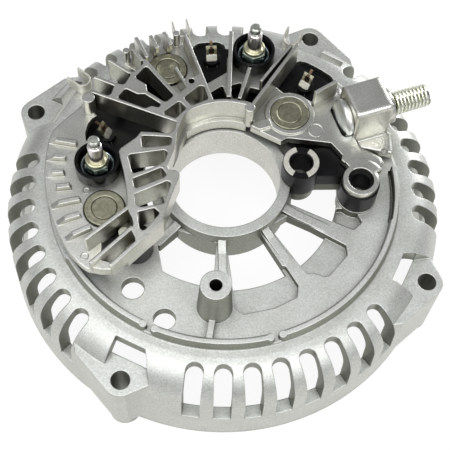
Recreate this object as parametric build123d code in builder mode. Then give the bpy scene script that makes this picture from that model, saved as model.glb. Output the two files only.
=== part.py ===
"""Alternator end frame with its rectifier, in millimetres.

+Z points to the rear. The origin is on the bearing axis, at the rim's mating face, and the four
fixing ears are at 45 degrees and every 90 degrees from there. The battery bolt points to +X.
"""
from build123d import *
import os
from math import atan2, cos, degrees, dist, radians, sin

os.makedirs("parts", exist_ok=True)

# End frame: skirt, shoulder and plate
RIM_R = 71.25
SKIRT_TOP_R = 70.5
WALL = 4.0
SHOULDER_ROUND = 12.0
SHOULDER_Z = 32.8
PLATE_TOP = 33.4
PLATE_T = 3.8
PLATE_EDGE_R = 56.2
LEDGE_Z = 31.2
LEDGE_R = 36.2

# Bearing hub
BORE_R = 17.5
HUB_R = 20.8
HUB_TOP = 37.2
HUB_BOTTOM = 24.0
SPOKE_TOP = 35.2

# Vents in the skirt, eight to each quarter
VENT_COUNT = 8
VENT_PITCH = 7.8
VENT_W = 5.5
VENT_END_R = 60.2
SILL_Z = 12.5

# Fixing ears
EAR_BOLT_R = 70.47
EAR_HOLE_R = 2.9
EAR_TOP = 27.2
EAR_BOSS_R = 5.0
EAR_FACE_R = 63.9
EAR_WEB_Z = 2.0

# Ridge round the plate
RIDGE_IN_R = 53.4
RIDGE_TOP_R = 55.3
RIDGE_TOP = 36.0
RIDGE_MIDDLE_R = 54.6
RIDGE_END_R = 1.2
RIDGE_GROOVE = (53.1, 54.1, -33.5, -13.0)
GROOVE_DEPTH = 1.6

# Standoff with a tapped hole
STANDOFF = (-16.8, -39.1)
STANDOFF_FOOT_R = 5.4
STANDOFF_R = 4.6
STANDOFF_TOP = 49.4
STANDOFF_TAP_R = 1.9
STANDOFF_TAP_DEPTH = 14.0
STANDOFF_RIB_END = (-22.3, -49.4)
STANDOFF_RIB_T = 2.0

# Heat sink levels and walls
SINK_BOTTOM = 40.0
SINK_TOP = 42.5
WEB_BOTTOM = 41.2
WEB_TOP = 50.0
WEB_T = 1.1
CELL_CORNER = 0.9
RING_IN_R = 20.3
RIM_LIP_R = 18.6
RIM_LIP_BOTTOM = 37.7
RIM_LIP_TOP = 41.7

# Press-fit diodes
DIODE_R = 6.375
DIODE_TOP = 43.3
DIODE_H = 5.2
DIODE_BODY_R = 5.4
DIODE_COLLAR_R = 7.9
LEAD_R = 0.6
POSITIVE_DIODES = [(-39.5, -1.5), (-5.4, 41.9), (26.5, 13.1)]
NEGATIVE_ANGLES = (97.0, 120.0, 143.0)
NEGATIVE_CIRCLE_R = 44.6
NEGATIVE_COLLAR_R = 8.2
NEGATIVE_FACE_Z = 27.2

# Insulated studs
STUDS = [(-37.4, 12.8), (22.9, 37.5)]
STUD_R = 2.3
STUD_THREAD_R = 2.5
STUD_TOP = 59.0
STUD_FOOT = 23.0
STUD_PILOT_R = 1.9
STUD_NECK_R = 1.6
HEX_FLATS = 7.0
HEX_H = 2.6
COLLAR_R = 3.0
COLLAR_H = 1.2
CUP_R = 6.9
CUP_WALL = 1.0
CUP_TOP = 47.6
CUP_FLOOR = 1.5
SPIGOT_R = 4.5
SPIGOT_GAP = 0.1
WASHER_R = 5.4
WASHER_T = 1.2
STUD_BOSS_R = 5.2
STUD_HOLE_GAP = 0.2
SPACER_R = 6.0

# Regulator posts
POST_SPLIT = (22.9, -6.0)
POST_FULL = (38.3, -17.6)
SPLIT_FOOT_R = 5.2
FULL_FOOT_R = 6.3
POST_FOOT_TOP = 34.2
POST_TAP_R = 1.7
SLEEVE_R = 6.1
SLEEVE_TOP = 42.2
LUG_R = 5.6
LUG_FLANGE_R = 7.7
LUG_FLANGE_TURN = (10.0, 108.0)
LUG_TOP = 44.7
BUSH_R = 4.0
BUSH_BORE_R = 3.0
BUSH_SINK = 1.6
TOWER_R = 5.8
TOWER_BORE_R = 3.5
TOWER_TOP = 44.0
SPLIT_RING_R = 5.6
SPLIT_RING_IN_R = 3.9
SPLIT_RING_T = 0.7

# Battery terminal
BLOCK_X = (43.1, 55.3)
BLOCK_Y = (-0.8, 11.9)
BLOCK_Z = (36.0, 53.0)
BLOCK_ROUND = 1.4
BOLT_Y = 5.4
BOLT_Z = 44.1
BOLT_R = 3.7
BOLT_SHANK_R = 3.9
BOLT_END_X = 71.2
BOLT_HEAD_R = 6.2
BOLT_HEAD_T = 2.6
BOLT_HEAD_GAP = 0.12
BOLT_COLLAR_R = 5.8
BOLT_COLLAR_T = 2.4

# Terminal moulding under the heat sink
MOULD_TOP = 37.0
MOULD_IN_R = 26.0
MOULD_OUT_R = 51.0
SOCKET_R = 2.9
SOCKET_H = 2.2
# Radius and angle of each phase terminal's socket
TERMINALS = [(40.8, 139.5), (45.9, 76.4), (44.0, 33.7)]
TAB_W = 3.0
TAB_T = 0.8
TAB_TIP_W = 2.2
TAB_ROOT = -1.2
TAB_KNEE_Z = 39.6
TAB_BEND = (1.2, 42.2)
TAB_TIP = (3.4, 44.2)

# Far-end support of the heat sink
END_SPACER = (-33.4, -13.0)
END_SPACER_R = 5.3
END_PAD_R = 4.8
END_RIVET = (-36.1, -11.6)
RIVET_R = 1.4
RIVET_HEAD_R = 1.9
RIVET_HEAD_T = 1.2

# Wire clips on the shoulder
CLIP_ANGLES = (48.6, 84.8, 122.6)
CLIP_R = 57.4
CLIP_W = 5.6
CLIP_REACH = 7.2
CLIP_T = 0.6
CLIP_H = 4.6


def polar(r, angle):
    """The point at radius r and angle in degrees."""
    return (r * cos(radians(angle)), r * sin(radians(angle)))


def bar(start, end, thickness):
    """A straight wall in plan from start to end, in the sketch in progress."""
    middle = ((start[0] + end[0]) / 2, (start[1] + end[1]) / 2)
    turn = degrees(atan2(end[1] - start[1], end[0] - start[0]))
    with Locations(middle):
        Rectangle(dist(start, end), thickness, rotation=turn)


def upright(angle):
    """The plane through the bearing axis whose X runs outward at this angle and whose Y is up."""
    return Plane(origin=(0, 0, 0), x_dir=(*polar(1, angle), 0), z_dir=(*polar(1, angle - 90), 0))


def sector(inner, outer, start, end, centre=(0, 0)):
    """A ring sector in plan as a closed outline, in the line in progress."""
    middle = Vector(*centre)
    Line(middle + polar(inner, start), middle + polar(outer, start))
    CenterArc(centre, outer, start, end - start)
    Line(middle + polar(outer, end), middle + polar(inner, end))
    CenterArc(centre, inner, start, end - start)


# Rear frame: one casting with hub, spokes, vented skirt, ears and standoff
PLATE_BOTTOM = PLATE_TOP - PLATE_T
ROUND_R = SKIRT_TOP_R - SHOULDER_ROUND
ROUND_Z = SHOULDER_Z - SHOULDER_ROUND
INNER_ROUND = SHOULDER_ROUND - WALL

# In an ear's own plane X runs along the rim and Y outward
EAR_FLAT = [(18.5, 60.0), (18.5, 66.0), (16.3, 68.9), (2.0, 75.1), (-3.4, 74.2), (-8.3, 68.3), (-8.3, 60.0)]
EAR_CLEAR = [(6.6, 60.4), (-3.2, 60.4), (-5.5, 64.2), (-8.3, 68.3), (-8.3, 80.0), (6.6, 80.0)]
EAR_WINDOW = [(6.6, 60.4), (-3.2, 60.4), (-5.6, 63.9), (6.6, 63.9)]
EAR_LONG_WINDOW = [(15.0, 60.4), (-3.2, 60.4), (-5.6, 63.9), (15.0, 63.9)]

WINDOW_LEFT = [(-26.8, -14.2), (-28.1, -23.6), (-27.0, -25.4), (-19.4, -31.3), (-14.8, -32.0), (-9.4, -19.0), (-19.5, -10.9)]
WINDOW_FRONT = [(-6.2, -19.0), (4.6, -19.0), (8.1, -37.5), (-10.0, -37.5)]
WINDOW_FRONT_LEDGE = [(-9.4, -33.0), (-11.4, -41.5), (-9.4, -44.1), (0.0, -45.2), (7.9, -44.1), (9.6, -40.5), (8.2, -33.0)]
WINDOW_RIGHT = [(8.2, -19.0), (12.6, -35.0), (13.7, -37.8), (16.0, -38.4), (17.9, -40.2), (19.8, -40.5), (27.9, -35.7), (28.7, -32.6), (15.5, -17.0)]
WINDOW_POST = [(17.5, -13.5), (29.6, -25.5), (36.5, -20.0), (34.8, -11.4), (28.0, -9.2), (20.0, -8.0)]
POST_LEDGE = [(30.5, -19.5), (28.0, -23.4), (33.0, -28.3), (36.6, -26.6), (36.3, -23.5), (35.0, -21.0)]
# Hidden windows round the far side: inner radius, outer radius, start and end angle
FAR_WINDOWS = [
    (23.5, 35.0, 163.0, 191.0),
    (23.5, 35.0, 120.0, 156.0),
    (23.5, 35.0, 77.0, 112.0),
    (23.5, 35.0, 26.0, 68.0),
]
# Windows at the two far phase terminals, with a foot of the moulding inside
TERMINAL_WINDOWS = [(38.0, 57.2, 70.5, 82.5), (36.5, 56.7, 28.0, 44.0)]
WINDOW_CORNER = 3.4

# The room inside the skirt, with a flat behind every ear
with BuildPart() as inner_room:
    with BuildSketch(Plane.XZ):
        with BuildLine():
            Polyline((0, PLATE_BOTTOM - 0.8), (ROUND_R, PLATE_BOTTOM - 0.8))
            CenterArc((ROUND_R, ROUND_Z), INNER_ROUND, 0, 90)
            Polyline((ROUND_R + INNER_ROUND, ROUND_Z), (RIM_R - WALL, 0), (0, 0), (0, PLATE_BOTTOM - 0.8))
        make_face()
    revolve(axis=Axis.Z)
    with BuildSketch(Plane.XY):
        RegularPolygon(EAR_FACE_R, 4, major_radius=False)
    extrude(amount=PLATE_BOTTOM, mode=Mode.INTERSECT)

with BuildPart() as rear_frame:
    with BuildSketch(Plane.XZ):
        with BuildLine():
            Polyline((BORE_R, PLATE_BOTTOM), (ROUND_R, PLATE_BOTTOM), (ROUND_R, ROUND_Z + INNER_ROUND))
            CenterArc((ROUND_R, ROUND_Z), INNER_ROUND, 0, 90)
            Polyline((ROUND_R + INNER_ROUND, ROUND_Z), (RIM_R - WALL, 0), (RIM_R, 0), (SKIRT_TOP_R, ROUND_Z))
            CenterArc((ROUND_R, ROUND_Z), SHOULDER_ROUND, 0, 90)
            Polyline((ROUND_R, SHOULDER_Z), (PLATE_EDGE_R, SHOULDER_Z), (PLATE_EDGE_R - 0.5, PLATE_TOP), (BORE_R, PLATE_TOP), (BORE_R, PLATE_BOTTOM))
        make_face()
    revolve(axis=Axis.Z)

    # Ears with a flat top, a boss down to the mating face and a window beside the shoulder
    for quarter in range(4):
        ear_plane = Plane.XY.rotated((0, 0, 90 * quarter - 45))
        with BuildSketch(ear_plane.offset(EAR_WEB_Z)):
            Polygon(*EAR_FLAT, align=None)
        extrude(amount=EAR_TOP - EAR_WEB_Z)
        with BuildSketch(ear_plane):
            with Locations((0, EAR_BOLT_R)):
                Circle(EAR_BOSS_R)
        extrude(amount=EAR_TOP)
        with BuildSketch(ear_plane.offset(EAR_TOP)):
            Polygon(*EAR_CLEAR, align=None)
        extrude(amount=SHOULDER_Z - EAR_TOP + 1, mode=Mode.SUBTRACT)
        window = EAR_LONG_WINDOW if quarter in (0, 1) else EAR_WINDOW
        with BuildSketch(ear_plane.offset(-1)):
            Polygon(*window, align=None)
        extrude(amount=SHOULDER_Z + 2, mode=Mode.SUBTRACT)
        with BuildSketch(ear_plane):
            with Locations((0, EAR_BOLT_R)):
                Circle(EAR_HOLE_R)
        extrude(amount=EAR_TOP, mode=Mode.SUBTRACT)

    # The room inside the skirt, kept clear behind the ears
    add(inner_room.part, mode=Mode.SUBTRACT)

    # Windows between the spokes
    for outline in (WINDOW_LEFT, WINDOW_FRONT, WINDOW_RIGHT, WINDOW_POST):
        with BuildSketch(Plane.XY.offset(PLATE_BOTTOM - 1)):
            Polygon(*outline, align=None)
            Circle(LEDGE_R, mode=Mode.INTERSECT)
        extrude(amount=PLATE_T + 2, mode=Mode.SUBTRACT)
    for outline in (WINDOW_FRONT_LEDGE, WINDOW_RIGHT, POST_LEDGE):
        with BuildSketch(Plane.XY.offset(LEDGE_Z)) as ledge:
            Polygon(*outline, align=None)
            fillet(ledge.vertices(), 0.9)
        extrude(amount=PLATE_TOP, mode=Mode.SUBTRACT)
    for windows, corner in ((FAR_WINDOWS, 1.5), (TERMINAL_WINDOWS, WINDOW_CORNER)):
        for inner, outer, start, end in windows:
            with BuildSketch(Plane.XY.offset(PLATE_BOTTOM - 1)) as far_window:
                with BuildLine():
                    sector(inner, outer, start, end)
                make_face()
                fillet(far_window.vertices(), corner)
            extrude(amount=PLATE_T + 2, mode=Mode.SUBTRACT)

    # Hub with its spokes
    with BuildSketch(Plane.XY.offset(HUB_BOTTOM)):
        Circle(HUB_R)
    extrude(amount=HUB_TOP - HUB_BOTTOM)
    with BuildSketch(Plane.XY.offset(PLATE_BOTTOM)):
        bar((-7.6, -19.0), (-13.2, -37.0), 3.0)
        bar((6.2, -19.0), (11.0, -38.0), 3.0)
        bar((14.6, -14.6), (28.0, -28.0), 3.4)
        bar((-18.2, -9.0), (-27.0, -13.0), 3.2)
    extrude(amount=PLATE_T)
    for start, end, width in (((-7.2, -18.0), (-12.0, -33.0), 2.6), ((6.0, -18.0), (9.9, -33.0), 2.6), ((14.0, -14.0), (26.0, -26.0), 3.0), ((-17.0, -8.6), (-26.0, -12.6), 2.8)):
        length = dist(start, end)
        outward = Plane(origin=(*start, PLATE_TOP), x_dir=(end[0] - start[0], end[1] - start[1], 0), z_dir=(end[1] - start[1], start[0] - end[0], 0))
        with BuildSketch(outward):
            Polygon((0, -0.5), (0, SPOKE_TOP - PLATE_TOP), (length * 0.35, 0.6), (length, 0), (length, -0.5), align=None)
        extrude(amount=width / 2, both=True)

    # Ridge in three lengths
    for start, end in ((190.5, 224.5), (228.5, 265.0), (269.0, 346.0)):
        with BuildSketch(upright(start)):
            Polygon(
                (RIDGE_IN_R, PLATE_TOP - 1),
                (RIDGE_IN_R, RIDGE_TOP - 0.5),
                (RIDGE_IN_R + 0.5, RIDGE_TOP),
                (RIDGE_TOP_R, RIDGE_TOP),
                (PLATE_EDGE_R - 0.1, PLATE_TOP - 1),
                align=None,
            )
        revolve(axis=Axis.Z, revolution_arc=end - start)
        with BuildSketch(Plane.XY.offset(PLATE_TOP - 1)):
            with Locations(polar(RIDGE_MIDDLE_R, start), polar(RIDGE_MIDDLE_R, end)):
                Circle(RIDGE_END_R)
        extrude(amount=RIDGE_TOP - PLATE_TOP + 1)
    with BuildSketch(Plane.XY.offset(PLATE_TOP - GROOVE_DEPTH)):
        with BuildLine():
            sector(*RIDGE_GROOVE)
        make_face()
    extrude(amount=RIDGE_TOP, mode=Mode.SUBTRACT)

    # Standoff, post feet, stud bosses and diode collars
    with BuildSketch(Plane.XY.offset(PLATE_BOTTOM)):
        with Locations(STANDOFF):
            Circle(STANDOFF_FOOT_R)
        with Locations(POST_SPLIT):
            Circle(SPLIT_FOOT_R)
        with Locations(POST_FULL):
            Circle(FULL_FOOT_R)
    extrude(amount=PLATE_T)
    with BuildSketch(Plane.XY.offset(PLATE_TOP)):
        with Locations(STANDOFF):
            Circle(STANDOFF_FOOT_R)
    with BuildSketch(Plane.XY.offset(STANDOFF_TOP)):
        with Locations(STANDOFF):
            Circle(STANDOFF_R)
    loft()
    with BuildSketch(Plane.XY.offset(PLATE_TOP)):
        with Locations(POST_SPLIT):
            Circle(SPLIT_FOOT_R)
        with Locations(POST_FULL):
            Circle(FULL_FOOT_R)
    extrude(amount=POST_FOOT_TOP - PLATE_TOP)
    with BuildSketch(Plane.XY.offset(PLATE_TOP)):
        bar(STANDOFF, STANDOFF_RIB_END, STANDOFF_RIB_T)
    extrude(amount=RIDGE_TOP - PLATE_TOP - 0.4)
    with BuildSketch(Plane.XY.offset(STUD_FOOT)):
        with Locations(*STUDS):
            Circle(STUD_BOSS_R)
    extrude(amount=PLATE_TOP - STUD_FOOT)
    with BuildSketch(Plane.XY.offset(NEGATIVE_FACE_Z - 0.6)):
        with Locations(*[polar(NEGATIVE_CIRCLE_R, angle) for angle in NEGATIVE_ANGLES]):
            Circle(NEGATIVE_COLLAR_R)
    extrude(amount=PLATE_TOP - NEGATIVE_FACE_Z + 0.6)

    # Drilled and tapped holes
    with Locations((*STANDOFF, STANDOFF_TOP)):
        Hole(STANDOFF_TAP_R, depth=STANDOFF_TAP_DEPTH)
    with Locations(*[(*place, PLATE_TOP) for place in STUDS]):
        Hole(STUD_THREAD_R, depth=PLATE_TOP - STUD_FOOT)
    with Locations(*[(*polar(NEGATIVE_CIRCLE_R, angle), PLATE_TOP) for angle in NEGATIVE_ANGLES]):
        Hole(DIODE_R, depth=PLATE_TOP - NEGATIVE_FACE_Z + 0.6)
    with Locations((*POST_SPLIT, POST_FOOT_TOP), (*POST_FULL, POST_FOOT_TOP)):
        Hole(POST_TAP_R, depth=POST_FOOT_TOP - PLATE_BOTTOM)
    with Locations((-38.3, -25.4, PLATE_TOP)):
        Hole(3.55, depth=PLATE_T)
    with Locations((-32.3, -38.05, PLATE_TOP)):
        Hole(3.4, depth=PLATE_T)
    with Locations((*POST_SPLIT, HUB_TOP)):
        Hole(TOWER_BORE_R, depth=HUB_TOP - POST_FOOT_TOP)
    with Locations((*END_RIVET, PLATE_TOP)):
        Hole(RIVET_R, depth=PLATE_T)
    with BuildSketch(Plane.XY.offset(HUB_BOTTOM)):
        Circle(BORE_R)
    extrude(amount=HUB_TOP, mode=Mode.SUBTRACT)

    # Vents
    for quarter in range(4):
        first = 90 * quarter - VENT_PITCH * (VENT_COUNT - 1) / 2
        with BuildSketch(Plane.XY.offset(SILL_Z)):
            with PolarLocations(VENT_END_R + VENT_W / 2, VENT_COUNT, start_angle=first, angular_range=VENT_PITCH * (VENT_COUNT - 1), endpoint=True):
                Circle(VENT_W / 2)
                Rectangle(RIM_R - VENT_END_R, VENT_W, align=(Align.MIN, Align.CENTER))
        extrude(amount=SHOULDER_Z, mode=Mode.SUBTRACT)
rear_frame.part.label = "rear_frame"
export_step(rear_frame.part, "parts/rear_frame.step")

# Positive heat sink: one casting of floors, lattice, fins, diode seats and battery block
LEFT_EDGE = [(-47.5, 30.5), (-43.0, 33.4), (-36.3, 36.8), (-34.9, 34.8), (-32.2, 32.0), (-34.2, 31.2), (-35.9, 29.8), (-37.6, 26.8), (-38.2, 24.0), (-36.5, 22.3), (-30.8, 19.5), (-30.2, 12.2), (-30.9, 5.0), (-31.9, -1.5), (-33.0, -6.6), (-43.0, -10.8), (-44.5, -16.0), (-44.2, -19.0), (-40.0, -20.6), (-43.7, -21.4), (-45.8, -21.2), (-48.3, -20.3), (-49.9, -19.2), (-51.4, -17.2), (-53.2, -13.0)]
LEFT_BLOCK = [(-33.2, -6.6), (-32.0, -1.5), (-31.0, 5.0), (-30.4, 12.2), (-29.6, 13.1), (-24.0, 15.3), (-21.9, 16.9), (-13.4, 13.5), (-11.6, 14.6), (-10.4, 17.0), (-8.6, 17.2), (-10.5, 14.7), (-11.8, 12.5), (-12.9, 9.8), (-14.5, 7.2), (-16.5, 4.7), (-17.9, 2.8), (-17.9, 1.2), (-16.0, 0.4), (-15.2, -0.9), (-15.7, -2.2), (-18.0, -5.0), (-21.0, -9.0), (-25.2, -15.0), (-34.9, -19.9), (-34.3, -17.6), (-34.6, -14.9), (-33.4, -13.0), (-33.2, -11.0), (-33.6, -8.6)]
UPPER_BLOCK = [(-10.4, 17.0), (-32.3, 35.7), (-31.6, 36.5), (-27.9, 33.1), (-26.7, 33.3), (-24.9, 35.9), (-24.0, 36.9), (-22.3, 35.7), (-21.3, 35.8), (-18.8, 38.4), (-18.9, 39.9), (-17.9, 39.5), (-17.0, 39.3), (-13.6, 41.5), (-13.4, 43.3), (-12.3, 42.9), (-7.2, 27.9), (-6.0, 27.1), (-3.2, 28.4), (-2.6, 31.4), (0.2, 31.6), (3.2, 32.3), (3.2, 21.0), (0.0, 20.6), (-5.5, 19.7), (-7.3, 18.7), (-8.6, 17.2)]
CELLS = [
    [(-22.4, 15.7), (-13.4, 12.1), (-14.6, 9.4), (-23.3, 11.2)],
    [(-28.3, 10.3), (-17.0, 8.4), (-16.3, 7.2), (-18.3, 4.4), (-22.5, 3.5), (-28.8, 3.3)],
    [(-29.3, 1.7), (-19.8, 2.8), (-18.9, -0.3), (-20.2, -0.9), (-29.8, -1.9)],
    [(-30.4, -3.6), (-19.6, -2.2), (-18.6, -3.3), (-22.8, -9.4), (-29.7, -8.4), (-31.0, -6.9)],
    [(-31.4, -9.6), (-26.0, -9.9), (-24.9, -12.1), (-31.4, -16.4), (-32.2, -15.0)],
    [(-17.9, 37.1), (-13.0, 40.5), (-8.1, 26.6), (-11.0, 25.1), (-12.0, 25.6), (-15.6, 30.8), (-15.2, 33.4)],
    [(-25.5, 31.3), (-21.8, 34.0), (-18.8, 30.7), (-16.6, 30.1), (-12.8, 24.7), (-14.0, 23.7), (-15.9, 25.0), (-18.2, 24.8)],
    [(-13.9, 21.5), (-7.1, 24.2), (-5.8, 20.8), (-8.6, 19.2), (-10.3, 18.2)],
    [(-5.6, 24.9), (0.8, 27.7), (2.1, 27.1), (1.9, 21.9), (-4.2, 21.2)],
]
# Thin walls of the lattice: start, end and thickness
WALLS = [
    ((-32.6, -6.9), (-48.3, -13.4), 1.1),
    ((-34.0, -13.9), (-48.8, -21.3), 1.1),
    ((-24.8, -14.4), (-43.6, -23.9), 1.2),
    ((-24.4, 36.3), (-29.9, 41.4), 1.0),
    ((-18.7, 39.4), (-23.6, 46.4), 1.0),
    ((-13.5, 42.8), (-15.2, 48.4), 1.0),
    ((-11.7, 43.6), (-12.8, 52.2), 1.2),
    ((-7.4, 46.0), (-8.1, 51.5), 1.2),
    ((-2.8, 46.0), (-3.5, 51.5), 1.2),
    ((-3.0, 28.4), (-4.3, 37.0), 0.9),
    ((34.8, 13.8), (43.2, 15.9), 1.1),
]
DEEP_WALLS = [
    ((2.75, 29.0), (2.75, 48.6), 1.0),
    ((8.2, 20.8), (17.6, 45.0), 1.3),
    ((11.2, 19.2), (18.3, 29.4), 1.1),
    ((20.0, 23.3), (34.6, 34.0), 0.9),
    ((14.4, 15.7), (36.4, 33.3), 1.1),
]
# The left end of the lattice overhangs the floor
END_CUT = [(-55.0, -20.4), (-48.3, -20.4), (-45.8, -21.3), (-43.7, -21.5), (-38.6, -19.6), (-36.0, -30.0), (-55.0, -30.0)]
END_PAD = [(-49.2, -20.2), (-48.4, -22.0), (-46.8, -23.1), (-43.7, -24.2), (-42.0, -22.6), (-45.6, -20.2)]
END_CUT_TOP = 44.0
END_PAD_TOP = 47.8
REAR_FLOOR = [(-12.9, 42.0), (-13.4, 50.0), (-9.0, 53.2), (-2.0, 53.4), (1.5, 50.5), (3.2, 49.5), (3.2, 20.8), (-5.0, 27.0), (-7.6, 27.5)]
MIDDLE_FLOOR = [(2.6, 20.5), (2.6, 31.9), (12.8, 35.0), (14.6, 40.0), (17.8, 44.5), (23.0, 46.2), (28.0, 44.6), (31.4, 40.0), (36.4, 34.0), (15.0, 15.2), (8.0, 18.8)]
MIDDLE_HOLES = [
    [(4.6, 28.9), (9.8, 30.5), (9.4, 25.0), (4.6, 25.6)],
    [(11.5, 29.8), (15.9, 29.6), (13.9, 24.2), (11.2, 24.4)],
    [(14.3, 22.9), (18.0, 26.9), (21.5, 24.6), (16.9, 20.6)],
]
RIGHT_FLOOR = [(14.6, 17.0), (12.9, 12.4), (20.3, 4.4), (22.6, 4.9), (35.2, -1.2), (37.8, -9.5), (41.2, -9.5), (41.2, -2.0), (43.3, -0.9), (46.0, 11.0), (46.0, 17.5), (38.0, 17.6), (35.0, 15.3), (33.4, 17.4), (31.0, 19.6), (27.5, 21.4), (26.0, 24.5), (30.0, 28.3), (36.4, 33.3)]
FOOT = [(43.2, 1.0), (43.2, -1.6), (44.8, -3.2), (54.2, -8.6), (56.6, -1.6), (55.2, 1.0)]
FOOT_Z = (34.9, 38.0)
PAD = [(13.0, 12.4), (15.4, 13.3), (19.4, 13.3), (19.4, 10.2), (15.0, 10.2)]
LUG_BRIDGE = [(35.9, -8.0), (37.8, -12.0), (46.0, -14.5), (48.2, -13.0), (48.0, -11.0), (43.6, -5.6), (43.2, -1.0), (41.0, -1.0)]
# Raised bars on the left floor: angle, inner radius, top end and foot of the outer ramp
BARS = [
    (150.9, 47.1, 53.9, 56.3),
    (157.4, 49.6, 53.4, 55.9),
    (163.5, 49.7, 53.5, 55.4),
    (169.3, 47.9, 52.2, 52.4),
    (175.6, 45.7, 52.4, 54.7),
    (181.9, 47.0, 51.8, 54.4),
    (188.5, 45.6, 51.4, 54.0),
]
BAR_H = 1.9
WALL_LOBE = (-33.8, 34.2)
WALL_LOBE_R = 1.9
# Cast pins between the fins, and the shelf under the first
PINS = [(-17.0, 49.6), (0.7, 51.2)]
PIN_R = 1.1
PIN_TOP = 48.0
PIN_SHELF = [(-13.9, 42.5), (-18.4, 48.6), (-18.0, 51.0), (-15.6, 50.8), (-14.7, 47.6)]
# Lip on the inner side of the lattice
LEFT_LIP = [(-8.2, 20.2), (-2.9, 21.4), (-7.3, 17.1), (-10.7, 12.9), (-12.5, 9.4), (-14.6, 6.8), (-16.2, 5.4), (-14.9, 8.6), (-12.4, 12.6), (-10.6, 16.6)]
BAR_W = 1.6

with BuildPart() as positive_heat_sink:
    with BuildSketch(Plane.XY.offset(SINK_BOTTOM)):
        with BuildLine():
            Polyline(*LEFT_EDGE)
            ThreePointArc(LEFT_EDGE[-1], (-55.4, 3.0), LEFT_EDGE[0])
        make_face()
        Polygon(*REAR_FLOOR, align=None)
        Polygon(*MIDDLE_FLOOR, align=None)
        Polygon(*RIGHT_FLOOR, align=None)
        with Locations(STUDS[1]):
            Circle(CUP_R + 1.4)
        with Locations(POSITIVE_DIODES[2]):
            Circle(DIODE_COLLAR_R)
        with Locations(END_SPACER):
            Circle(END_PAD_R)
    extrude(amount=SINK_TOP - SINK_BOTTOM)
    with BuildSketch(Plane.XY.offset(WEB_BOTTOM)):
        Polygon(*LEFT_BLOCK, align=None)
        Polygon(*UPPER_BLOCK, align=None)
        for start, end, thickness in WALLS:
            bar(start, end, thickness)
        with BuildLine():
            sector(RING_IN_R, RING_IN_R + WEB_T, 50.0, 100.0)
        make_face()
        with Locations((13.2, 14.8)):
            Circle(1.6)
        with Locations(WALL_LOBE):
            Circle(WALL_LOBE_R)
    extrude(amount=WEB_TOP - WEB_BOTTOM)
    for outline in CELLS:
        with BuildSketch(Plane.XY.offset(SINK_BOTTOM - 1)) as cell:
            Polygon(*outline, align=None)
            fillet(cell.vertices(), CELL_CORNER)
        extrude(amount=WEB_TOP - SINK_BOTTOM + 2, mode=Mode.SUBTRACT)
    for outline in MIDDLE_HOLES:
        with BuildSketch(Plane.XY.offset(SINK_BOTTOM)) as cell:
            Polygon(*outline, align=None)
            fillet(cell.vertices(), 0.6)
        extrude(amount=SINK_TOP - SINK_BOTTOM, mode=Mode.SUBTRACT)
    with BuildSketch(Plane.XY.offset(SINK_BOTTOM)):
        for start, end, thickness in DEEP_WALLS:
            bar(start, end, thickness)
    extrude(amount=WEB_TOP - SINK_BOTTOM)

    with BuildSketch(Plane.XY.offset(SINK_BOTTOM)):
        Polygon(*END_CUT, align=None)
    extrude(amount=END_CUT_TOP - SINK_BOTTOM, mode=Mode.SUBTRACT)
    with BuildSketch(Plane.XY.offset(END_CUT_TOP)):
        Polygon(*END_PAD, align=None)
    extrude(amount=END_PAD_TOP - END_CUT_TOP)

    # Lip round the bore
    with BuildSketch(Plane.XY.offset(RIM_LIP_BOTTOM)):
        with BuildLine():
            sector(RIM_LIP_R, RING_IN_R + WEB_T, 50.0, 112.0)
        make_face()
        Polygon(*LEFT_LIP, align=None)
    extrude(amount=RIM_LIP_TOP - RIM_LIP_BOTTOM)

    # Pins
    with BuildSketch(Plane.XY.offset(SINK_BOTTOM)):
        Polygon(*PIN_SHELF, align=None)
    extrude(amount=SINK_TOP - SINK_BOTTOM)
    with BuildSketch(Plane.XY.offset(SINK_BOTTOM)):
        with Locations(*PINS):
            Circle(PIN_R)
    extrude(amount=PIN_TOP - SINK_BOTTOM)

    # Diode seats, pads and bars
    with BuildSketch(Plane.XY.offset(SINK_TOP)):
        with Locations(POSITIVE_DIODES[2]):
            Circle(DIODE_COLLAR_R)
    extrude(amount=0.6)
    with BuildSketch(Plane.XY.offset(SINK_TOP)):
        Polygon(*PAD, align=None)
    extrude(amount=0.8)
    for angle, inner, top_end, foot_end in BARS:
        with BuildSketch(upright(angle)):
            Polygon((inner, SINK_TOP), (inner + 0.3, SINK_TOP + BAR_H), (top_end, SINK_TOP + BAR_H), (foot_end, SINK_TOP), align=None)
        extrude(amount=BAR_W / 2, both=True)

    # Battery block with its foot and collar
    with BuildSketch(Plane.XY.offset(FOOT_Z[0])):
        Polygon(*FOOT, align=None)
    extrude(amount=FOOT_Z[1] - FOOT_Z[0])
    with BuildSketch(Plane.YZ.offset(BLOCK_X[0])):
        with Locations(((BLOCK_Y[0] + BLOCK_Y[1]) / 2, (BLOCK_Z[0] + BLOCK_Z[1]) / 2)):
            RectangleRounded(BLOCK_Y[1] - BLOCK_Y[0], BLOCK_Z[1] - BLOCK_Z[0], BLOCK_ROUND)
    extrude(amount=BLOCK_X[1] - BLOCK_X[0])
    with BuildSketch(Plane.YZ.offset(BLOCK_X[1])):
        with Locations((BOLT_Y, BOLT_Z)):
            Circle(BOLT_COLLAR_R)
    extrude(amount=BOLT_COLLAR_T)

    # Lug over the full regulator post
    with BuildSketch(Plane.XY.offset(SLEEVE_TOP)):
        with BuildLine():
            sector(1.0, LUG_FLANGE_R, *LUG_FLANGE_TURN, POST_FULL)
        make_face()
        with Locations(POST_FULL):
            Circle(LUG_R)
    extrude(amount=LUG_TOP - SLEEVE_TOP)
    with BuildSketch(Plane.XY.offset(SINK_BOTTOM)):
        Polygon(*LUG_BRIDGE, align=None)
        with Locations(POST_FULL):
            Circle(SLEEVE_R + 0.4, mode=Mode.SUBTRACT)
    extrude(amount=SINK_TOP - SINK_BOTTOM)

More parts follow.
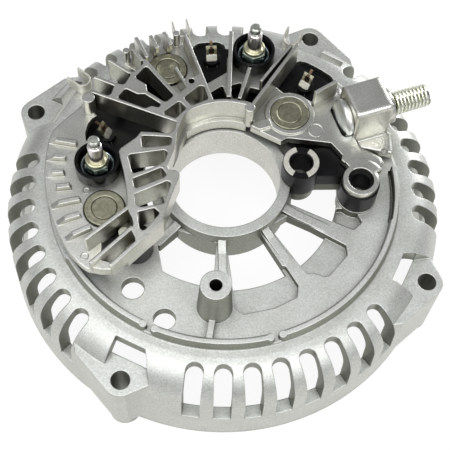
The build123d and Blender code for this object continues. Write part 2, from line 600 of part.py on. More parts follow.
    # Holes
    with Locations(*[(*place, SINK_TOP + 1) for place in POSITIVE_DIODES]):
        Hole(DIODE_R, depth=SINK_TOP - SINK_BOTTOM + 1)
    with Locations(*[(*place, SINK_TOP) for place in STUDS]):
        Hole(SPIGOT_R + SPIGOT_GAP, depth=SINK_TOP - SINK_BOTTOM)
    with Locations((*POST_FULL, LUG_TOP)):
        Hole(BUSH_R, depth=LUG_TOP - SLEEVE_TOP)
    with Locations((-1.1, 30.2, WEB_TOP)):
        Hole(1.0, depth=4)
    with BuildSketch(Plane.YZ.offset(BLOCK_X[0])):
        with Locations((BOLT_Y, BOLT_Z)):
            Circle(BOLT_SHANK_R)
    extrude(amount=BLOCK_X[1] - BLOCK_X[0] + BOLT_COLLAR_T, mode=Mode.SUBTRACT)
    with BuildSketch(Plane.YZ.offset(BLOCK_X[0])):
        with Locations((BOLT_Y, BOLT_Z)):
            Circle(BOLT_HEAD_R + BOLT_HEAD_GAP)
    extrude(amount=-BOLT_HEAD_T - BOLT_HEAD_GAP, mode=Mode.SUBTRACT)
    with Locations((*END_RIVET, SINK_TOP)):
        Hole(RIVET_R, depth=SINK_TOP - SINK_BOTTOM)
positive_heat_sink.part.label = "positive_heat_sink"
export_step(positive_heat_sink.part, "parts/positive_heat_sink.step")

# Battery bolt: flat round head inside the block, shank and threaded end
with BuildPart() as battery_bolt:
    with BuildSketch(Plane.YZ.offset(BLOCK_X[0])):
        with Locations((BOLT_Y, BOLT_Z)):
            Circle(BOLT_HEAD_R)
    extrude(amount=-BOLT_HEAD_T)
    chamfer(battery_bolt.edges().sort_by(Axis.X)[0], 0.5)
    with BuildSketch(Plane.YZ.offset(BLOCK_X[0])):
        with Locations((BOLT_Y, BOLT_Z)):
            Circle(BOLT_SHANK_R)
    extrude(amount=BLOCK_X[1] - BLOCK_X[0] + BOLT_COLLAR_T)
    with BuildSketch(Plane.YZ.offset(BLOCK_X[1] + BOLT_COLLAR_T)):
        with Locations((BOLT_Y, BOLT_Z)):
            Circle(BOLT_R)
    extrude(amount=BOLT_END_X - BLOCK_X[1] - BOLT_COLLAR_T)
    chamfer(battery_bolt.edges().sort_by(Axis.X)[-1], 0.7)
battery_bolt.part.label = "battery_bolt"
export_step(battery_bolt.part, "parts/battery_bolt.step")

# Positive diodes, pressed into the heat sink with the lead down
DIODE_FOOT = SINK_BOTTOM - 1.6
LEAD_FOOT = PLATE_TOP + 1.0
with BuildPart() as positive_diodes:
    with BuildSketch(Plane.XY.offset(SINK_BOTTOM)):
        with Locations(*POSITIVE_DIODES):
            Circle(DIODE_R)
    extrude(amount=DIODE_TOP - SINK_BOTTOM)
    chamfer(positive_diodes.edges().group_by(Axis.Z)[-1], 0.3)
    with BuildSketch(Plane.XY.offset(DIODE_FOOT)):
        with Locations(*POSITIVE_DIODES):
            Circle(DIODE_BODY_R)
    extrude(amount=SINK_BOTTOM - DIODE_FOOT)
    with BuildSketch(Plane.XY.offset(LEAD_FOOT)):
        with Locations(*POSITIVE_DIODES):
            Circle(LEAD_R)
    extrude(amount=DIODE_FOOT - LEAD_FOOT)
positive_diodes.part.label = "positive_diodes"
export_step(positive_diodes.part, "parts/positive_diodes.step")

# Negative diodes, pressed into the end frame with the lead up
NEGATIVE_DIODES = [polar(NEGATIVE_CIRCLE_R, angle) for angle in NEGATIVE_ANGLES]
with BuildPart() as negative_diodes:
    with BuildSketch(Plane.XY.offset(NEGATIVE_FACE_Z - 0.6)):
        with Locations(*NEGATIVE_DIODES):
            Circle(DIODE_R)
    extrude(amount=DIODE_H)
    with BuildSketch(Plane.XY.offset(NEGATIVE_FACE_Z - 0.6 + DIODE_H)):
        with Locations(*NEGATIVE_DIODES):
            Circle(DIODE_BODY_R)
    extrude(amount=1.0)
    with BuildSketch(Plane.XY.offset(NEGATIVE_FACE_Z + 0.4 + DIODE_H)):
        with Locations(*NEGATIVE_DIODES):
            Circle(LEAD_R)
    extrude(amount=MOULD_TOP - NEGATIVE_FACE_Z - 0.4 - DIODE_H)
negative_diodes.part.label = "negative_diodes"
export_step(negative_diodes.part, "parts/negative_diodes.step")

# Terminal moulding: a flat ring sector with sockets, an apron and the tower of the split ring
APRON = [(24.0, 0.0), (27.5, -9.6), (34.9, -12.0), (38.5, -9.0), (38.5, 0.0)]
APRON_TOP = 39.4
BLOCK_GAP = 0.4
BLOCK_NOTCH = 22.0
FOOT_TOP = 31.6
FOOT_GAP = 0.3
with BuildPart() as terminal_block:
    with BuildSketch(Plane.XY.offset(PLATE_TOP)) as mould_plan:
        with BuildLine():
            sector(MOULD_IN_R, MOULD_OUT_R, -10.0, 190.0)
        make_face()
        fillet(mould_plan.vertices(), 3.0)
    extrude(amount=MOULD_TOP - PLATE_TOP)
    with BuildSketch(Plane.XY.offset(POST_FOOT_TOP)):
        Polygon(*APRON, align=None)
    extrude(amount=APRON_TOP - POST_FOOT_TOP)
    with BuildSketch(Plane.XY.offset(MOULD_TOP)):
        with Locations(*[polar(r, angle) for r, angle in TERMINALS]):
            Circle(SOCKET_R)
    extrude(amount=SOCKET_H)
    for inner, outer, start, end in TERMINAL_WINDOWS:
        for low, high, reach in ((PLATE_BOTTOM, FOOT_TOP, outer - FOOT_GAP), (FOOT_TOP, PLATE_TOP, MOULD_OUT_R)):
            turn_gap = degrees(FOOT_GAP / inner)
            with BuildSketch(Plane.XY.offset(low)) as mould_foot:
                with BuildLine():
                    sector(inner + FOOT_GAP, reach, start + turn_gap, end - turn_gap)
                make_face()
                fillet(mould_foot.vertices(), WINDOW_CORNER - FOOT_GAP)
            extrude(amount=high - low)
    with BuildSketch(Plane.XY.offset(POST_FOOT_TOP)):
        with Locations(POST_SPLIT):
            Circle(TOWER_R)
    extrude(amount=TOWER_TOP - POST_FOOT_TOP)
    with BuildSketch(Plane.XY.offset(PLATE_TOP)):
        with Locations(POST_SPLIT):
            Circle(SPLIT_FOOT_R + 0.1)
    extrude(amount=POST_FOOT_TOP - PLATE_TOP, mode=Mode.SUBTRACT)
    with BuildSketch(Plane.XY.offset(PLATE_TOP)):
        Circle(HUB_R)
    extrude(amount=HUB_TOP - PLATE_TOP, mode=Mode.SUBTRACT)
    with BuildSketch(Plane.XY.offset(PLATE_TOP)):
        with Locations(POST_FULL):
            Circle(SLEEVE_R + 0.3)
        with Locations(*STUDS):
            Circle(SPACER_R + 0.1)
    extrude(amount=SOCKET_H + MOULD_TOP - PLATE_TOP, mode=Mode.SUBTRACT)
    with BuildSketch(Plane.XY.offset(PLATE_TOP)):
        with Locations(*POSITIVE_DIODES, *NEGATIVE_DIODES):
            Circle(LEAD_R)
    extrude(amount=MOULD_TOP - PLATE_TOP, mode=Mode.SUBTRACT)
    with BuildSketch(Plane.XY.offset(MOULD_TOP - 2)):
        for r, angle in TERMINALS:
            with Locations(polar(r + TAB_ROOT, angle)):
                Rectangle(TAB_T, TAB_W, rotation=angle)
    extrude(amount=SOCKET_H + 2, mode=Mode.SUBTRACT)
    with BuildSketch(Plane.XY.offset(FOOT_Z[0] - BLOCK_GAP)):
        with Locations((BLOCK_X[0] - BLOCK_GAP, BLOCK_Y[1] + BLOCK_GAP)):
            Rectangle(MOULD_OUT_R - BLOCK_X[0] + 1, BLOCK_NOTCH, align=(Align.MIN, Align.MAX))
    extrude(amount=APRON_TOP, mode=Mode.SUBTRACT)
    with Locations((*POST_SPLIT, TOWER_TOP)):
        Hole(TOWER_BORE_R, depth=TOWER_TOP - POST_FOOT_TOP)
terminal_block.part.label = "terminal_block"
export_step(terminal_block.part, "parts/terminal_block.step")

# Phase terminals: tinned tabs bent outward above their sockets, with a narrower tip
TAB_FOOT_Z = MOULD_TOP - 2
with BuildPart() as phase_terminals:
    for r, angle in TERMINALS:
        for width, ends in (
            (TAB_W, [(TAB_ROOT, TAB_FOOT_Z), (TAB_ROOT, TAB_KNEE_Z), TAB_BEND]),
            (TAB_TIP_W, [(TAB_ROOT, TAB_KNEE_Z), TAB_BEND, TAB_TIP]),
        ):
            with BuildSketch(upright(angle)):
                for start, end in zip(ends, ends[1:]):
                    bar((r + start[0], start[1]), (r + end[0], end[1]), TAB_T)
                with Locations((r + ends[1][0], ends[1][1])):
                    Circle(TAB_T / 2)
            extrude(amount=width / 2, both=True)
phase_terminals.part.label = "phase_terminals"
export_step(phase_terminals.part, "parts/phase_terminals.step")

# Split ring on the tower, in two arcs
with BuildPart() as regulator_split_ring:
    for start, end in ((88.0, 220.0), (272.0, 400.0)):
        with BuildSketch(Plane.XY.offset(TOWER_TOP)):
            with BuildLine():
                sector(SPLIT_RING_IN_R, SPLIT_RING_R, start, end, POST_SPLIT)
            make_face()
        extrude(amount=SPLIT_RING_T)
regulator_split_ring.part.label = "regulator_split_ring"
export_step(regulator_split_ring.part, "parts/regulator_split_ring.step")

# Sleeve and inner bush of the full regulator post
with BuildPart() as regulator_sleeve:
    with BuildSketch(Plane.XY.offset(POST_FOOT_TOP)):
        with Locations(POST_FULL):
            Circle(SLEEVE_R)
            Circle(BUSH_R, mode=Mode.SUBTRACT)
    extrude(amount=SLEEVE_TOP - POST_FOOT_TOP)
regulator_sleeve.part.label = "regulator_sleeve"
export_step(regulator_sleeve.part, "parts/regulator_sleeve.step")

with BuildPart() as regulator_bush:
    with BuildSketch(Plane.XY.offset(POST_FOOT_TOP)):
        with Locations(POST_FULL):
            Circle(BUSH_R)
            Circle(BUSH_BORE_R, mode=Mode.SUBTRACT)
    extrude(amount=LUG_TOP - BUSH_SINK - POST_FOOT_TOP)
regulator_bush.part.label = "regulator_bush"
export_step(regulator_bush.part, "parts/regulator_bush.step")

# Insulated stud stacks, from the frame up: spacer, cup, washer and stud bolt
WASHER_TOP = SINK_TOP + CUP_FLOOR + WASHER_T
with BuildPart() as lower_insulators:
    with BuildSketch(Plane.XY.offset(PLATE_TOP)):
        with Locations(*STUDS):
            Circle(SPACER_R)
            Circle(STUD_THREAD_R + STUD_HOLE_GAP, mode=Mode.SUBTRACT)
    extrude(amount=SINK_BOTTOM - PLATE_TOP)
lower_insulators.part.label = "lower_insulators"
export_step(lower_insulators.part, "parts/lower_insulators.step")

with BuildPart() as insulating_cups:
    with BuildSketch(Plane.XY.offset(SINK_BOTTOM)):
        with Locations(*STUDS):
            Circle(SPIGOT_R)
    extrude(amount=SINK_TOP - SINK_BOTTOM)
    with BuildSketch(Plane.XY.offset(SINK_TOP)):
        with Locations(*STUDS):
            Circle(CUP_R)
    extrude(amount=CUP_TOP - SINK_TOP)
    with BuildSketch(Plane.XY.offset(SINK_TOP + CUP_FLOOR)):
        with Locations(*STUDS):
            Circle(CUP_R - CUP_WALL)
    extrude(amount=CUP_TOP - SINK_TOP - CUP_FLOOR, mode=Mode.SUBTRACT)
    with BuildSketch(Plane.XY.offset(SINK_BOTTOM)):
        with Locations(*STUDS):
            Circle(STUD_THREAD_R + STUD_HOLE_GAP)
    extrude(amount=CUP_TOP - SINK_BOTTOM, mode=Mode.SUBTRACT)
insulating_cups.part.label = "insulating_cups"
export_step(insulating_cups.part, "parts/insulating_cups.step")

with BuildPart() as stud_washers:
    with BuildSketch(Plane.XY.offset(WASHER_TOP - WASHER_T)):
        with Locations(*STUDS):
            Circle(WASHER_R)
            Circle(STUD_THREAD_R + STUD_HOLE_GAP, mode=Mode.SUBTRACT)
    extrude(amount=WASHER_T)
stud_washers.part.label = "stud_washers"
export_step(stud_washers.part, "parts/stud_washers.step")

HEX_TOP = WASHER_TOP + HEX_H
with BuildPart() as stud_bolts:
    for radius, low, high in (
        (STUD_THREAD_R, STUD_FOOT, WASHER_TOP),
        (COLLAR_R, HEX_TOP, HEX_TOP + COLLAR_H),
        (STUD_R, HEX_TOP + COLLAR_H, STUD_TOP - 2.8),
        (STUD_NECK_R, STUD_TOP - 2.8, STUD_TOP - 2.0),
        (STUD_PILOT_R, STUD_TOP - 2.0, STUD_TOP),
    ):
        with BuildSketch(Plane.XY.offset(low)):
            with Locations(*STUDS):
                Circle(radius)
        extrude(amount=high - low)
    with BuildSketch(Plane.XY.offset(WASHER_TOP)):
        with Locations(*STUDS):
            RegularPolygon(HEX_FLATS / 2, 6, major_radius=False)
    extrude(amount=HEX_H)
stud_bolts.part.label = "stud_bolts"
export_step(stud_bolts.part, "parts/stud_bolts.step")

# Support at the far end of the heat sink: spacer and rivet
with BuildPart() as end_spacer:
    with BuildSketch(Plane.XY.offset(PLATE_TOP)):
        with Locations(END_SPACER):
            Circle(END_SPACER_R)
        with Locations(END_RIVET):
            Circle(RIVET_R, mode=Mode.SUBTRACT)
    extrude(amount=SINK_BOTTOM - PLATE_TOP)
end_spacer.part.label = "end_spacer"
export_step(end_spacer.part, "parts/end_spacer.step")

with BuildPart() as end_rivet:
    with BuildSketch(Plane.XY.offset(PLATE_BOTTOM)):
        with Locations(END_RIVET):
            Circle(RIVET_R)
    extrude(amount=SINK_TOP - PLATE_BOTTOM)
    for level in (PLATE_BOTTOM - RIVET_HEAD_T, SINK_TOP):
        with BuildSketch(Plane.XY.offset(level)):
            with Locations(END_RIVET):
                Circle(RIVET_HEAD_R)
        extrude(amount=RIVET_HEAD_T)
end_rivet.part.label = "end_rivet"
export_step(end_rivet.part, "parts/end_rivet.step")

# Wire clips: bent strips open to the outside
with BuildPart() as wire_clips:
    for angle in CLIP_ANGLES:
        with BuildSketch(Plane.XY.offset(SHOULDER_Z).rotated((0, 0, angle))):
            for half_width, mode in ((CLIP_W / 2, Mode.ADD), (CLIP_W / 2 - CLIP_T, Mode.SUBTRACT)):
                with Locations((CLIP_R + CLIP_W / 2, 0)):
                    Circle(half_width, mode=mode)
                    Rectangle(CLIP_REACH - CLIP_W / 2, 2 * half_width, align=(Align.MIN, Align.CENTER), mode=mode)
        extrude(amount=CLIP_H)
wire_clips.part.label = "wire_clips"
export_step(wire_clips.part, "parts/wire_clips.step")
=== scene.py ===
import math

import bmesh
import bpy
from mathutils import Matrix, Vector


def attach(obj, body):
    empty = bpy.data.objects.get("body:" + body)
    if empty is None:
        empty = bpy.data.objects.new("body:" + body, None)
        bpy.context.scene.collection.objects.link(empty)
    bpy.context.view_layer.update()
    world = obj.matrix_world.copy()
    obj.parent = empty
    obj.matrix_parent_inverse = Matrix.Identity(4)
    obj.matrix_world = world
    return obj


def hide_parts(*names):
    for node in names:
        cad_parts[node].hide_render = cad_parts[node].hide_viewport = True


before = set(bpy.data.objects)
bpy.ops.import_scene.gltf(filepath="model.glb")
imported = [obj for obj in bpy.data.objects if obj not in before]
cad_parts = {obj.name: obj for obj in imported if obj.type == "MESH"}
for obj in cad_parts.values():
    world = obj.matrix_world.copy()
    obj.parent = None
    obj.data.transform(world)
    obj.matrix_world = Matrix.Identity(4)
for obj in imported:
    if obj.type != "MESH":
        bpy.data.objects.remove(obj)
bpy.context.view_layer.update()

# Rear frame: one aluminium die casting with hub, spokes, vented skirt and ears, shot blasted.
# Blasting leaves it a pale neutral grey, matt, with a sandy grain and soft edges, and its corners are
# darkened with painted shade.
# Only the bearing bore is machined; its walls are painted near white, which also paints the light they catch,
# and the walls inside the frame are painted darker as shade.
FRAME_RADIUS = 0.07125
# Painted light and shade on the frame's walls by distance from the axis: the bore wall painted near white for
# the light it catches, the inner walls painted darker as shade.
BORE_WALL, INNER_WALL_SHADE, SKIRT_WALL = "#F2F2EC", "#A6A89E", "#DADBD5"
FRAME_WALLS_AND_SHADE = [
    (0.0, BORE_WALL), (0.2460, BORE_WALL), (0.2475, INNER_WALL_SHADE),
    (0.82, INNER_WALL_SHADE), (0.86, SKIRT_WALL), (1.0, SKIRT_WALL),
]
WHITE = "#FFFFFF"
SAND_MM = 0.5
CLOUD_MM = 11
CORNER_SHADE_REACH = 0.005
CAST_EDGE = 0.0005
TINTED = {"data_type": "RGBA", "blend_type": "MULTIPLY"}  # a Mix node that lays one colour over another


def linear(code):
    """A colour written as sRGB hex, as the linear values that a shader takes."""
    parts = [int(code[i:i + 2], 16) / 255 for i in (1, 3, 5)]
    return [c / 12.92 if c <= 0.04045 else ((c + 0.055) / 1.055) ** 2.4 for c in parts] + [1.0]


def add(tree, kind, links=None, values=None, stops=(), **settings):
    """Adds a node: links go to its inputs from other sockets, values are put on its inputs,
    and stops are a colour ramp's positions in order, each with its sRGB hex."""
    node = tree.nodes.new(kind)
    for key, value in settings.items():
        setattr(node, key, value)
    for key, value in (values or {}).items():
        node.inputs[key].default_value = value
    for key, source in (links or {}).items():
        tree.links.new(source, node.inputs[key])
    for position, code in stops[1:-1]:
        node.color_ramp.elements.new(position)
    for i, (position, code) in enumerate(stops):
        node.color_ramp.elements[i].position = position
        node.color_ramp.elements[i].color = linear(code)
    return node


def new_material(name):
    """An empty material with one shader, and the place on the object that its patterns read."""
    material = bpy.data.materials.new(name)
    material.use_nodes = True
    tree = material.node_tree
    tree.nodes.clear()
    shader = add(tree, "ShaderNodeBsdfPrincipled")
    add(tree, "ShaderNodeOutputMaterial", {0: shader.outputs[0]})
    place = add(tree, "ShaderNodeTexCoord").outputs
    return material, tree, shader, place


def cast_aluminium(name, level, walls, side, corner, rough, edge=None):
    """Cast aluminium: level faces pale, painted shade in the corners, and walls in stops by distance
    from the axis. Walls that stand along a radius, such as the sides of a vent, are darker still with
    painted shade. The sand marks are about 0.3 mm in life, and are drawn at 0.5 mm so that they show."""
    material, tree, shader, place = new_material(name)
    facing = add(tree, "ShaderNodeSeparateXYZ", {0: place["Normal"]})
    upright = add(tree, "ShaderNodeMath", {0: facing.outputs["Z"]}, operation="ABSOLUTE")
    in_plan = (1 / FRAME_RADIUS, 1 / FRAME_RADIUS, 0)
    flat = add(tree, "ShaderNodeVectorMath", {0: place["Object"]}, {1: in_plan}, operation="MULTIPLY")
    out = add(tree, "ShaderNodeVectorMath", {0: flat.outputs[0]}, operation="LENGTH")
    wall = add(tree, "ShaderNodeValToRGB", {0: out.outputs["Value"]}, stops=walls)
    radius = add(tree, "ShaderNodeVectorMath", {0: flat.outputs[0]}, operation="NORMALIZE")
    along = add(tree, "ShaderNodeVectorMath", {0: radius.outputs[0], 1: place["Normal"]},
                operation="DOT_PRODUCT")
    outward = add(tree, "ShaderNodeMath", {0: along.outputs["Value"]}, operation="ABSOLUTE")
    # Painted shade: walls that stand along a radius, such as the sides of the vents, are darkened towards the
    # side colour.
    dull = add(tree, "ShaderNodeValToRGB", {0: outward.outputs[0]}, stops=[(0.35, side), (0.75, WHITE)])
    wall = add(tree, "ShaderNodeMix", {6: wall.outputs[0], 7: dull.outputs[0]}, {0: 1.0}, **TINTED)
    share = add(tree, "ShaderNodeMapRange", {"Value": upright.outputs[0]},
                {"From Min": 0.25, "From Max": 0.75})
    body = add(tree, "ShaderNodeMix", {0: share.outputs[0], 6: wall.outputs[2]}, {7: linear(level)},
               data_type="RGBA")
    # Painted shade: corners and hollows darkened by ambient occlusion towards the corner colour.
    corners = add(tree, "ShaderNodeAmbientOcclusion", values={"Distance": CORNER_SHADE_REACH}, samples=8)
    corner_shade = add(tree, "ShaderNodeValToRGB", {0: corners.outputs["AO"]},
               stops=[(0.12, corner), (0.68, WHITE)])
    grain = add(tree, "ShaderNodeTexNoise", {"Vector": place["Object"]},
                {"Scale": 1000 / SAND_MM, "Detail": 2.0, "Roughness": 0.65})
    sand = add(tree, "ShaderNodeValToRGB", {0: grain.outputs["Fac"]},
               stops=[(0.28, "#DADAD8"), (0.72, WHITE)])
    cloud = add(tree, "ShaderNodeTexNoise", {"Vector": place["Object"]},
                {"Scale": 1000 / CLOUD_MM, "Detail": 3.0, "Roughness": 0.6})
    patches = add(tree, "ShaderNodeValToRGB", {0: cloud.outputs["Fac"]},
                  stops=[(0.3, "#EFEFED"), (0.7, WHITE)])
    paint = body.outputs[2]
    for glaze in (corner_shade, sand, patches):
        mixed = add(tree, "ShaderNodeMix", {6: paint, 7: glaze.outputs[0]}, {0: 1.0}, **TINTED)
        paint = mixed.outputs[2]
    tree.links.new(paint, shader.inputs["Base Color"])
    shader.inputs["Metallic"].default_value = 1.0
    rub = add(tree, "ShaderNodeMapRange", {"Value": cloud.outputs["Fac"]},
              {"To Min": rough - 0.05, "To Max": rough + 0.07})
    tree.links.new(rub.outputs[0], shader.inputs["Roughness"])
    soft = add(tree, "ShaderNodeBevel", values={"Radius": CAST_EDGE}, samples=8)
    if edge:
        tree.links.new(edge(tree, place), soft.inputs["Radius"])
    sanded = add(tree, "ShaderNodeBump", {"Height": grain.outputs["Fac"], "Normal": soft.outputs[0]},
                 {"Strength": 0.45, "Distance": 0.0001})
    tree.links.new(sanded.outputs[0], shader.inputs["Normal"])
    return material


def dress(node, material):
    """Gives a CAD node its finish."""
    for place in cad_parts[node].material_slots:
        place.material = material


# Painted shade on the frame: its inner walls, vent sides and corners are darkened by the wall stops, side
# colour and corner colour.
blasted = cast_aluminium("blasted_cast_aluminium", "#E0E2E0", FRAME_WALLS_AND_SHADE, "#B0B1AA", "#82827B", 0.48)
dress("rear_frame", blasted)

# Press-fit diodes, three in the frame and three in the heat sink: nickel plated steel cups.
# The plating is an olive grey, duller than the aluminium, and each face has a shallow turned step.
DIODE_RADIUS = 0.006375
LOWER_CIRCLE = 0.0446
LOWER_ANGLES = [math.radians(angle) for angle in (97.0, 120.0, 143.0)]
LOWER_DIODES = [(LOWER_CIRCLE * math.cos(a), LOWER_CIRCLE * math.sin(a)) for a in LOWER_ANGLES]
UPPER_DIODES = [(-0.0395, -0.0015), (-0.0054, 0.0419), (0.0265, 0.0131)]
WEAR_MM = 1.1
CUP_HEIGHT = [
    (0.0, "#BCBCBC"), (0.57, "#BCBCBC"), (0.61, "#202020"),
    (0.66, "#BCBCBC"), (0.92, "#BCBCBC"), (1.0, "#000000"),
]
# Painted light and shade on the diode faces: dark rings in the step and at the rim's edge, pale rings as
# highlights beside the step and on the rim.
CUP_PAINTED_LIGHT_AND_SHADE = [
    (0.0, "#EAEAEA"), (0.56, "#F0F0F0"), (0.61, "#A6A6A0"),
    (0.655, WHITE), (0.9, "#F2F2F2"), (0.955, WHITE), (1.0, "#3E3E3A"),
]


def from_nearest(tree, place, centres, radius):
    """Distance in plan from the closest of several centres, as a share of a radius."""
    flat = add(tree, "ShaderNodeVectorMath", {0: place["Object"]}, {1: (1, 1, 0)}, operation="MULTIPLY")
    closest = None
    for x, y in centres:
        reach = add(tree, "ShaderNodeVectorMath", {0: flat.outputs[0]}, {1: (x, y, 0)},
                    operation="DISTANCE").outputs["Value"]
        if closest:
            reach = add(tree, "ShaderNodeMath", {0: closest, 1: reach}, operation="MINIMUM").outputs[0]
        closest = reach
    return add(tree, "ShaderNodeMath", {0: closest}, {1: radius}, operation="DIVIDE").outputs[0]


def plated_cup(name, centres):
    """Nickel plate on a turned steel face, with a step at six tenths of its radius, and painted rings:
    shade in the step and at the rim's edge, highlights beside the step and on the rim.
    """
    material, tree, shader, place = new_material(name)
    out = from_nearest(tree, place, centres, DIODE_RADIUS)
    step = add(tree, "ShaderNodeValToRGB", {0: out}, stops=CUP_HEIGHT)
    shade = add(tree, "ShaderNodeValToRGB", {0: out}, stops=CUP_PAINTED_LIGHT_AND_SHADE)
    wear = add(tree, "ShaderNodeTexNoise", {"Vector": place["Object"]},
               {"Scale": 1000 / WEAR_MM, "Detail": 5.0, "Roughness": 0.7})
    metal = add(tree, "ShaderNodeValToRGB", {0: wear.outputs["Fac"]},
                stops=[(0.3, "#838270"), (0.7, "#B4B39E")])
    paint = add(tree, "ShaderNodeMix", {6: metal.outputs[0], 7: shade.outputs[0]}, {0: 1.0}, **TINTED)
    tree.links.new(paint.outputs[2], shader.inputs["Base Color"])
    shader.inputs["Metallic"].default_value = 1.0
    shader.inputs["Roughness"].default_value = 0.34
    soft = add(tree, "ShaderNodeBevel", values={"Radius": 0.0004}, samples=6)
    stepped = add(tree, "ShaderNodeBump", {"Height": step.outputs[0], "Normal": soft.outputs[0]},
                  {"Strength": 1.0, "Distance": 0.0003})
    worn = add(tree, "ShaderNodeBump", {"Height": wear.outputs["Fac"], "Normal": stepped.outputs[0]},
               {"Strength": 0.3, "Distance": 0.0001})
    tree.links.new(worn.outputs[0], shader.inputs["Normal"])
    return material


dress("negative_diodes", plated_cup("nickel_plate_lower_diodes", LOWER_DIODES))
dress("positive_diodes", plated_cup("nickel_plate_upper_diodes", UPPER_DIODES))

# Terminal moulding with its tower, the insulators and the regulator post's sleeve and bush:
# black glass-filled nylon, injection moulded. It is nearly black, semi-matt and very finely grained.
LEATHER_MM = 0.6
PATCH_MM = 6


def black_moulding(name, code, rough, grain_depth):
    """Black plastic with a 0.6 mm leathery grain; the glass near the skin holds its shine down."""
    material, tree, shader, place = new_material(name)
    grain = add(tree, "ShaderNodeTexNoise", {"Vector": place["Object"]},
                {"Scale": 1000 / LEATHER_MM, "Detail": 2.0})
    patch = add(tree, "ShaderNodeTexNoise", {"Vector": place["Object"]},
                {"Scale": 1000 / PATCH_MM, "Detail": 3.0})
    black = add(tree, "ShaderNodeValToRGB", {0: patch.outputs["Fac"]},
                stops=[(0.3, code), (0.7, "#0D0E10")])
    tree.links.new(black.outputs[0], shader.inputs["Base Color"])
    rub = add(tree, "ShaderNodeMapRange", {"Value": patch.outputs["Fac"]},
              {"To Min": rough - 0.08, "To Max": rough + 0.08})
    tree.links.new(rub.outputs[0], shader.inputs["Roughness"])
    shader.inputs["IOR"].default_value = 1.52
    shader.inputs["Specular IOR Level"].default_value = 0.16
    soft = add(tree, "ShaderNodeBevel", values={"Radius": 0.0004}, samples=6)
    leather = add(tree, "ShaderNodeBump", {"Height": grain.outputs["Fac"], "Normal": soft.outputs[0]},
                  {"Strength": 0.35, "Distance": grain_depth})
    tree.links.new(leather.outputs[0], shader.inputs["Normal"])
    return material


nylon = black_moulding("black_glass_filled_nylon", "#060708", 0.36, 0.00008)
for node in ("terminal_block", "lower_insulators", "regulator_sleeve", "regulator_bush", "end_spacer"):
    dress(node, nylon)

# Phase terminals, one on each socket of the moulding: tin plated strip, bent outward into two legs
# and a bridge that hold the end of a diode's copper lead. Tin is cream white, the lead dull brown.
TERMINALS = [(0.0408, 139.5), (0.0459, 76.4), (0.0440, 33.7)]  # distance from the axis, angle
TERMINAL_WIDTH = 0.0036
TERMINAL_LEG = 0.0009
TERMINAL_SHEET = 0.0007
TERMINAL_FACE = [(-0.0023, 0.0362), (-0.0021, 0.0376), (0.0003, 0.0405)]
TERMINAL_LEGS = [(0.0003, 0.0405), (0.0013, 0.0422)]
TERMINAL_BRIDGE = [(0.0013, 0.0422), (0.0020, 0.0429)]
TERMINAL_TIP = [(0.0020, 0.0429), (0.0032, 0.0441)]
LEAD = [(0.0000, 0.0394), (0.0008, 0.0408), (0.0011, 0.0420), (0.0012, 0.0431)]
LEAD_WIDTH = 0.0009


def plated(name, dull, pale, rough, spot_mm):
    """Thin bright plating over steel or copper strip, with a faint mottle of the given size."""
    material, tree, shader, place = new_material(name)
    flow = add(tree, "ShaderNodeTexNoise", {"Vector": place["Object"]},
               {"Scale": 1000 / spot_mm, "Detail": 3.0})
    metal = add(tree, "ShaderNodeValToRGB", {0: flow.outputs["Fac"]}, stops=[(0.3, dull), (0.68, pale)])
    tree.links.new(metal.outputs[0], shader.inputs["Base Color"])
    shader.inputs["Metallic"].default_value = 1.0
    shader.inputs["Roughness"].default_value = rough
    soft = add(tree, "ShaderNodeBevel", values={"Radius": 0.0002}, samples=6)
    rippled = add(tree, "ShaderNodeBump", {"Height": flow.outputs["Fac"], "Normal": soft.outputs[0]},
                  {"Strength": 0.2, "Distance": 0.00005})
    tree.links.new(rippled.outputs[0], shader.inputs["Normal"])
    return material


def creased(data, crease):
    """Smooth shading, with the edges beyond the crease angle kept sharp."""
    for face in data.polygons:
        face.use_smooth = True
    data.set_sharp_from_angle(angle=math.radians(crease))


def finished(name, mesh, materials, crease=35):
    """Makes a piece from a bmesh: doubles merged, faces outward, smooth up to the crease angle."""
    bmesh.ops.remove_doubles(mesh, verts=mesh.verts, dist=1e-7)
    bmesh.ops.recalc_face_normals(mesh, faces=mesh.faces)
    data = bpy.data.meshes.new(name)
    mesh.to_mesh(data)
    mesh.free()
    for material in materials:
        data.materials.append(material)
    piece = bpy.data.objects.new(name, data)
    bpy.context.scene.collection.objects.link(piece)
    creased(data, crease)
    return piece


def bent_strip(mesh, place, path, width, thick, aside=0.0):
    """A strip bent along a path of (outward, up) points, square cut, in a terminal's own place."""
    rings = []
    for i, (out, up) in enumerate(path):
        before, after = path[max(i - 1, 0)], path[min(i + 1, len(path) - 1)]
        along = Vector((after[0] - before[0], 0, after[1] - before[1])).normalized()
        over = Vector((-along.z, 0, along.x)) * thick / 2
        side = Vector((0, width / 2, 0))
        middle = Vector((out, aside, up))
        corners = [middle + a * over + b * side for a, b in ((1, 1), (1, -1), (-1, -1), (-1, 1))]
        rings.append([mesh.verts.new(place @ corner) for corner in corners])
    for low, high in zip(rings, rings[1:]):
        for i in range(4):
            mesh.faces.new((low[i], low[i - 1], high[i - 1], high[i]))
    mesh.faces.new(rings[0])
    mesh.faces.new(reversed(rings[-1]))


